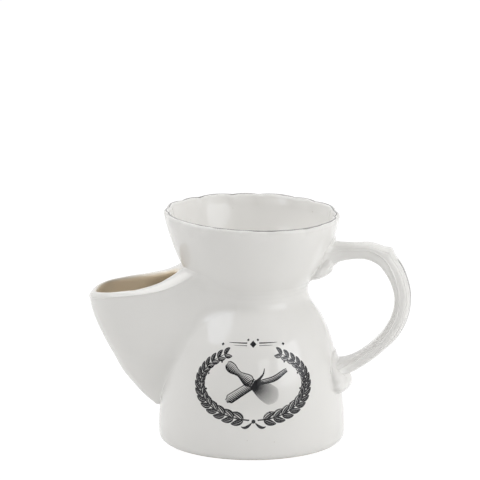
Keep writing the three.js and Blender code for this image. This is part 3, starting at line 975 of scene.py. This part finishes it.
def makePrint():
    drawWreath()
    drawRazor()
    drawBrush()
    drawRules()
    points, faces, start = [], [], 0
    for partPoints, partFaces in printParts:
        points.append(partPoints)
        faces += [[index + start for index in face] for face in partFaces]
        start += len(partPoints)
    return makeObject("printed_wreath_and_tools", np.concatenate(points), faces, 60)


# Finishes

# New node with attributes set by their names, and inputs by theirs with _ for a space
def addNode(tree, kind, **values):
    node = tree.nodes.new(kind)
    for key, value in values.items():
        if hasattr(node, key):
            setattr(node, key, value)
        else:
            node.inputs[key.replace("_", " ")].default_value = value
    return node


def newGroup(name, inputs, outputs):
    group = bpy.data.node_groups.new(name, "ShaderNodeTree")
    for socketName, kind, value in inputs:
        socket = group.interface.new_socket(name=socketName, in_out="INPUT", socket_type=kind)
        socket.default_value = value
    for socketName, kind in outputs:
        group.interface.new_socket(name=socketName, in_out="OUTPUT", socket_type=kind)
    return group, group.nodes.new("NodeGroupInput"), group.nodes.new("NodeGroupOutput")


def multiply(tree, a, b):
    node = addNode(tree, "ShaderNodeMath", operation="MULTIPLY")
    tree.links.new(a, node.inputs[0])
    tree.links.new(b, node.inputs[1])
    return node.outputs[0]


# Colour of a glaze that lies thicker here and thinner there, with a few iron specks
def makeGlazeTone():
    group, given, made = newGroup(
        "glazeTone",
        [
            ["Tone", "NodeSocketColor", (0.8, 0.8, 0.8, 1)],
            ["Thick Tone", "NodeSocketColor", (0.7, 0.7, 0.7, 1)],
            ["Patch Scale", "NodeSocketFloat", 22],
            ["Patch Share", "NodeSocketFloat", 0.5],
            ["Speck Share", "NodeSocketFloat", 0.3],
        ],
        [["Color", "NodeSocketColor"]],
    )
    link = group.links.new
    place = addNode(group, "ShaderNodeTexCoord")
    patches = addNode(group, "ShaderNodeTexNoise", Detail=3.0, Roughness=0.45)
    link(place.outputs["Object"], patches.inputs["Vector"])
    link(given.outputs["Patch Scale"], patches.inputs["Scale"])
    spread = addNode(group, "ShaderNodeMapRange", From_Min=0.35, From_Max=0.68)
    link(patches.outputs["Fac"], spread.inputs["Value"])
    tone = addNode(group, "ShaderNodeMix", data_type="RGBA")
    link(multiply(group, spread.outputs["Result"], given.outputs["Patch Share"]), tone.inputs["Factor"])
    link(given.outputs["Tone"], tone.inputs[6])
    link(given.outputs["Thick Tone"], tone.inputs[7])
    specks = addNode(group, "ShaderNodeTexVoronoi", Scale=210.0)
    link(place.outputs["Object"], specks.inputs["Vector"])
    speckMask = addNode(group, "ShaderNodeMapRange", From_Min=0.09, From_Max=0.04)
    link(specks.outputs["Distance"], speckMask.inputs["Value"])
    rare = addNode(group, "ShaderNodeTexNoise", Scale=60.0, Detail=1.0)
    link(place.outputs["Object"], rare.inputs["Vector"])
    rareMask = addNode(group, "ShaderNodeMapRange", From_Min=0.62, From_Max=0.72)
    link(rare.outputs["Fac"], rareMask.inputs["Value"])
    both = multiply(group, speckMask.outputs["Result"], rareMask.outputs["Result"])
    specked = addNode(group, "ShaderNodeMix", data_type="RGBA")
    specked.inputs[7].default_value = (0.33, 0.28, 0.22, 1)
    link(multiply(group, both, given.outputs["Speck Share"]), specked.inputs["Factor"])
    link(tone.outputs[2], specked.inputs[6])
    link(specked.outputs[2], made.inputs["Color"])
    return group


# Height and roughness of a fired surface: long waver, fine peel and a little handling wear
def makeFiredSkin():
    group, given, made = newGroup(
        "firedSkin",
        [
            ["Waver", "NodeSocketFloat", 0.06],
            ["Waver Scale", "NodeSocketFloat", 38],
            ["Peel", "NodeSocketFloat", 0.008],
            ["Peel Scale", "NodeSocketFloat", 420],
            ["Smooth", "NodeSocketFloat", 0.06],
            ["Dull", "NodeSocketFloat", 0.12],
        ],
        [["Height", "NodeSocketFloat"], ["Roughness", "NodeSocketFloat"]],
    )
    link = group.links.new
    place = addNode(group, "ShaderNodeTexCoord")
    total = addNode(group, "ShaderNodeMath", operation="ADD")
    for i, name, detail in [[0, "Waver", 1.0], [1, "Peel", 2.0]]:
        noise = addNode(group, "ShaderNodeTexNoise", Detail=detail)
        link(place.outputs["Object"], noise.inputs["Vector"])
        link(given.outputs[name + " Scale"], noise.inputs["Scale"])
        link(multiply(group, noise.outputs["Fac"], given.outputs[name]), total.inputs[i])
    link(total.outputs[0], made.inputs["Height"])
    wear = addNode(group, "ShaderNodeTexNoise", Scale=95.0, Detail=5.0, Roughness=0.62)
    link(place.outputs["Object"], wear.inputs["Vector"])
    wearRange = addNode(group, "ShaderNodeMapRange", From_Min=0.38, From_Max=0.72)
    link(wear.outputs["Fac"], wearRange.inputs["Value"])
    link(given.outputs["Smooth"], wearRange.inputs["To Min"])
    link(given.outputs["Dull"], wearRange.inputs["To Max"])
    link(wearRange.outputs["Result"], made.inputs["Roughness"])
    return group


glazeTone = makeGlazeTone()
firedSkin = makeFiredSkin()


def placeGroup(tree, group, values):
    node = tree.nodes.new("ShaderNodeGroup")
    node.node_tree = group
    for key, value in values.items():
        node.inputs[key].default_value = value
    return node


# Empty node tree of a material or a world
def clearTree(owner):
    owner.use_nodes = True
    owner.node_tree.nodes.clear()
    return owner.node_tree


def addSkin(tree, shader, values):
    skin = placeGroup(tree, firedSkin, values)
    bump = addNode(tree, "ShaderNodeBump", Distance=mm, Strength=1)
    tree.links.new(skin.outputs["Height"], bump.inputs["Height"])
    tree.links.new(bump.outputs["Normal"], shader.inputs["Normal"])
    tree.links.new(skin.outputs["Roughness"], shader.inputs["Roughness"])


# Each finish has the values of its colour group and of its skin group
glazeFinish = {
    "colour": {
        "Tone": (0.80, 0.79, 0.768, 1),
        "Thick Tone": (0.768, 0.760, 0.736, 1),
        "Patch Scale": 24,
        "Patch Share": 0.6,
        "Speck Share": 0.35,
    },
    "skin": {
        "Waver": 0.07,
        "Waver Scale": 34,
        "Peel": 0.006,
        "Peel Scale": 420,
        "Smooth": 0.05,
        "Dull": 0.11,
    },
}
spoutFinish = {
    **glazeFinish,
    "inside": {  # thin glaze over cream clay, made warmer and more beige as painted shade of the deep cavity
        "Tone": (0.90, 0.79, 0.62, 1),
        "Thick Tone": (0.82, 0.69, 0.52, 1),
        "Patch Scale": 60,
        "Patch Share": 0.8,
        "Speck Share": 0.5,
    },
}
drainerFinish = {
    "colour": {**glazeFinish["colour"], "Tone": (0.77, 0.75, 0.70, 1)},
    "skin": glazeFinish["skin"],
}
inkFinish = {  # printed under the glaze, so it has the same waver
    "colour": {
        "Tone": (0.010, 0.010, 0.012, 1),
        "Thick Tone": (0.030, 0.030, 0.033, 1),
        "Patch Scale": 300,
        "Patch Share": 0.8,
        "Speck Share": 0,
    },
    "skin": {**glazeFinish["skin"], "Smooth": 0.12, "Dull": 0.28},
}
lustreFinish = {
    "colour": {
        "Tone": (0.46, 0.45, 0.44, 1),
        "Thick Tone": (0.32, 0.315, 0.31, 1),
        "Patch Scale": 90,
        "Patch Share": 1,
        "Speck Share": 0,
    },
    "skin": {
        "Waver": 0.03,
        "Waver Scale": 160,
        "Peel": 0.01,
        "Peel Scale": 900,
        "Smooth": 0.14,
        "Dull": 0.34,
    },
    "metallic": 1,
}
clayFinish = {
    "colour": {
        "Tone": (0.66, 0.60, 0.50, 1),
        "Thick Tone": (0.50, 0.43, 0.33, 1),
        "Patch Scale": 240,
        "Patch Share": 0.8,
        "Speck Share": 0.9,
    },
    "skin": {
        "Waver": 0.05,
        "Waver Scale": 200,
        "Peel": 0.06,
        "Peel Scale": 1400,
        "Smooth": 0.75,
        "Dull": 0.92,
    },
}


def makeFinish(name, finish):
    material = bpy.data.materials.new(name)
    tree = clearTree(material)
    shader = tree.nodes.new("ShaderNodeBsdfPrincipled")
    output = tree.nodes.new("ShaderNodeOutputMaterial")
    tree.links.new(shader.outputs["BSDF"], output.inputs["Surface"])
    colour = placeGroup(tree, glazeTone, finish["colour"]).outputs["Color"]
    # The inside tint is partly thin glaze over cream clay and partly painted shade of the spout's deep
    # cavity
    if "inside" in finish:
        mask = addNode(tree, "ShaderNodeAttribute", attribute_name="inside")
        inner = placeGroup(tree, glazeTone, finish["inside"])
        mixed = addNode(tree, "ShaderNodeMix", data_type="RGBA")
        tree.links.new(mask.outputs["Fac"], mixed.inputs["Factor"])
        tree.links.new(colour, mixed.inputs[6])
        tree.links.new(inner.outputs["Color"], mixed.inputs[7])
        colour = mixed.outputs[2]
    tree.links.new(colour, shader.inputs["Base Color"])
    shader.inputs["Metallic"].default_value = finish.get("metallic", 0)
    addSkin(tree, shader, finish["skin"])
    return material


glaze = makeFinish("whiteGlaze", glazeFinish)
spoutGlaze = makeFinish("whiteGlazeOfSpout", spoutFinish)
drainerGlaze = makeFinish("whiteGlazeOfDrainer", drainerFinish)
lustre = makeFinish("silverLustre", lustreFinish)
ink = makeFinish("printedBlack", inkFinish)
clay = makeFinish("bareClay", clayFinish)
print("finishes made")


def dress(piece, material, slot, *nodes):
    piece.data.materials.clear()
    piece.data.materials.append(material)
    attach(piece, "root")
    if nodes:
        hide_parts(*nodes)


deepTrimmer = makeTrimmer("deepTrimmer", 6)
shallowTrimmer = makeTrimmer("shallowTrimmer", 1.5)

reservoir = makeReservoir()
dress(reservoir, glaze, "white_glaze", "reservoir_body")
print("reservoir made")

spout = makeSpout(deepTrimmer)
dress(spout, spoutGlaze, "white_glaze", "brush_spout")
print("spout made")

soapBowl = makeBowl()
dress(soapBowl, glaze, "white_glaze", "soap_bowl")
drainer = makeDrainer()
dress(drainer, drainerGlaze, "white_glaze", "soap_drainer")
print("bowl and drainer made")

handle = makeHandle(shallowTrimmer)
dress(handle, glaze, "white_glaze", "handle")
dress(makeLeaf("upper_leaf_relief", upperLeaf), glaze, "white_glaze", "upper_leaf_terminal")
dress(makeLeaf("lower_leaf_relief", lowerLeaf), glaze, "white_glaze", "lower_leaf_terminal")
print("handle and leaves made")

dress(makeFootRing(), clay, "bare_clay")
dress(makeRimLustre(), lustre, "silver_lustre")
dress(makeHandleLustre(), lustre, "silver_lustre")
dress(makePrint(), ink, "black_print")
removeObject(deepTrimmer)
removeObject(shallowTrimmer)
print("lustre, print and foot ring made")


# Studio

studio = {
    "ambient": 0.32,
    "farGlow": 1.0,  # what the glaze mirrors of the room
    "nearGlow": 0.2,  # which is darker on the side that the picture is taken from
    "floorReach": 4000,  # half its side
    "floorDrop": 0.02,  # how far it lies below the foot
    "floorLift": 0.86,  # how white the floor is seen, the rest of it takes the shadow
    "floorGlow": 1.1,
    "boxTarget": 60,  # height that all soft boxes face
}

# Soft boxes stand at an azimuth from the front (+ towards the handle), an elevation and a distance.
# Distance and size are in metres, and glow is brightness, the backdrop being 1. Panes are only
# mirrored in the glaze, and the other boxes only light it.
softBoxes = {
    "windowPane": {
        "at": [-59, 41, 1.3], "size": [0.92, 0.74], "glow": 2.0, "pane": True, "oval": True,
        "colour": (0.82, 0.88, 1),
    },
    "leftFill": {"at": [-60, 48, 1.5], "size": [1.3, 1.3], "glow": 1.52},
    "leftBackBox": {"at": [-114, 49, 1.5], "size": [1, 1], "glow": 1.6},
    "leftBackPane": {"at": [-134, 42, 1.5], "size": [0.9, 0.9], "glow": 1.2, "pane": True},
    "rightSoftBox": {"at": [63, 28, 1.3], "size": [0.44, 1.25], "glow": 2.75},
    "rightFill": {"at": [95, 22, 1.6], "size": [1.6, 1.2], "glow": 1.25},
    "backBox": {"at": [180, 45, 1.5], "size": [1.2, 1.2], "glow": 1.1},
    "topBox": {"at": [0, 84, 1.5], "size": [1.2, 1.2], "glow": 0.39},
    "rightWindow": {
        "at": [61, 15, 1.3], "size": [0.86, 0.56], "glow": 2.1, "pane": True, "colour": (0.92, 0.95, 1),
    },
    "nearWindow": {"at": [23, 10, 1.3], "size": [0.34, 0.24], "glow": 1.6, "pane": True},
}


# Direction towards an azimuth from the front and an elevation, both in degrees
def towards(azimuth, elevation):
    a, e = math.radians(azimuth), math.radians(elevation)
    return Vector((math.sin(a) * math.cos(e), -math.cos(a) * math.cos(e), math.sin(e)))


# First shader where the mask is 0, second where it is 1
def mixShaders(tree, mask, first, second):
    mix = tree.nodes.new("ShaderNodeMixShader")
    tree.links.new(mask, mix.inputs[0])
    tree.links.new(first, mix.inputs[1])
    tree.links.new(second, mix.inputs[2])
    return mix.outputs[0]


# Mask that is 1 for either of two kinds of ray
def eitherRay(tree, path, first, second):
    either = addNode(tree, "ShaderNodeMath", operation="MAXIMUM")
    tree.links.new(path.outputs[first], either.inputs[0])
    tree.links.new(path.outputs[second], either.inputs[1])
    return either.outputs[0]


# White to the camera, a room to the glaze, and even light to everything else
def makeWorld():
    world = bpy.data.worlds.new("studioWorld")
    bpy.context.scene.world = world
    tree = clearTree(world)
    path = addNode(tree, "ShaderNodeLightPath")
    backdrop = "ShaderNodeBackground"
    ambient = addNode(tree, backdrop, Color=(1, 0.995, 0.99, 1), Strength=studio["ambient"])
    seen = addNode(tree, backdrop, Color=(1, 1, 1, 1), Strength=1)
    mirrored = addNode(tree, backdrop)
    place = addNode(tree, "ShaderNodeTexCoord")
    parts = addNode(tree, "ShaderNodeSeparateXYZ")
    tree.links.new(place.outputs["Generated"], parts.inputs[0])
    spread = addNode(
        tree, "ShaderNodeMapRange", interpolation_type="SMOOTHSTEP", From_Min=-0.95, From_Max=-0.35,
        To_Min=studio["nearGlow"], To_Max=studio["farGlow"],
    )
    tree.links.new(parts.outputs["Y"], spread.inputs["Value"])
    tree.links.new(spread.outputs["Result"], mirrored.inputs["Strength"])
    glossy = eitherRay(tree, path, "Is Glossy Ray", "Is Transmission Ray")
    lit = mixShaders(tree, glossy, ambient.outputs[0], mirrored.outputs[0])
    shown = mixShaders(tree, path.outputs["Is Camera Ray"], lit, seen.outputs[0])
    output = addNode(tree, "ShaderNodeOutputWorld")
    tree.links.new(shown, output.inputs["Surface"])


def addSoftBox(name, box):
    wide, high = box["size"]
    azimuth, elevation, distance = box["at"]
    oval = box.get("oval", False)
    pane = box.get("pane", False)
    light = bpy.data.lights.new(name, "AREA")
    light.shape = "ELLIPSE" if oval else "RECTANGLE"
    light.size = wide
    light.size_y = high
    light.energy = box["glow"] * math.pi * wide * high * (math.pi / 4 if oval else 1)
    light.color = box.get("colour", (1, 1, 1))
    lamp = bpy.data.objects.new(name, light)
    bpy.context.scene.collection.objects.link(lamp)
    direction = towards(azimuth, elevation)
    lamp.visible_diffuse = not pane
    lamp.visible_glossy = pane
    lamp.location = Vector((0, 0, studio["boxTarget"] * mm)) + direction * distance
    lamp.rotation_euler = direction.to_track_quat("Z", "Y").to_euler()


def makeFloor():
    reach = studio["floorReach"] * mm
    corners = [[-1, -1], [1, -1], [1, 1], [-1, 1]]
    mesh = bpy.data.meshes.new("studio_floor")
    points = [[x * reach, y * reach, -studio["floorDrop"] * mm] for x, y in corners]
    mesh.from_pydata(points, [], [[0, 1, 2, 3]])
    floor = bpy.data.objects.new("studio_floor", mesh)
    bpy.context.scene.collection.objects.link(floor)
    material = bpy.data.materials.new("studioFloor")
    tree = clearTree(material)
    path = addNode(tree, "ShaderNodeLightPath")
    matt = addNode(tree, "ShaderNodeBsdfDiffuse", Color=(0.86, 0.86, 0.855, 1))
    glow = addNode(tree, "ShaderNodeEmission", Color=(1, 1, 1, 1), Strength=studio["floorGlow"])
    lift = addNode(tree, "ShaderNodeMath", operation="MULTIPLY")
    lift.inputs[1].default_value = studio["floorLift"]
    tree.links.new(eitherRay(tree, path, "Is Camera Ray", "Is Glossy Ray"), lift.inputs[0])
    shown = mixShaders(tree, lift.outputs[0], matt.outputs[0], glow.outputs[0])
    output = addNode(tree, "ShaderNodeOutputMaterial")
    tree.links.new(shown, output.inputs["Surface"])
    floor.data.materials.append(material)


# Camera at the photograph's angle; the picture is taken to be 480 pixels square
view = {
    "azimuth": 6.5,
    "elevation": 14.4,
    "distance": 1800,
    "mmPerPixel": 0.5135,
    "pixels": 480,
    "targetHeight": 59,
    "targetPixel": [251.8, 324],
    "sensor": 36,
}


def makeCamera():
    back = towards(view["azimuth"], view["elevation"])
    a = math.radians(view["azimuth"])
    right = Vector((math.cos(a), math.sin(a), 0))
    up = back.cross(right)
    target = Vector((0, 0, view["targetHeight"]))
    place = target + back * view["distance"]
    half = view["pixels"] / 2
    shiftRight = (view["targetPixel"][0] - half) * view["mmPerPixel"]
    shiftUp = (view["targetPixel"][1] - half) * view["mmPerPixel"]
    aim = target + up * shiftUp - right * shiftRight
    lens = bpy.data.cameras.new("camera")
    lens.sensor_width = view["sensor"]
    lens.lens = view["distance"] / view["mmPerPixel"] / view["pixels"] * view["sensor"]
    lens.clip_end = 50
    camera = bpy.data.objects.new("camera", lens)
    bpy.context.scene.collection.objects.link(camera)
    camera.location = place * mm
    camera.rotation_euler = (aim - place).to_track_quat("-Z", "Y").to_euler()
    bpy.context.scene.camera = camera


makeWorld()
for name, box in softBoxes.items():
    addSoftBox(name, box)
makeFloor()
makeCamera()
bpy.context.scene.view_settings.view_transform = "Standard"
print("studio made")
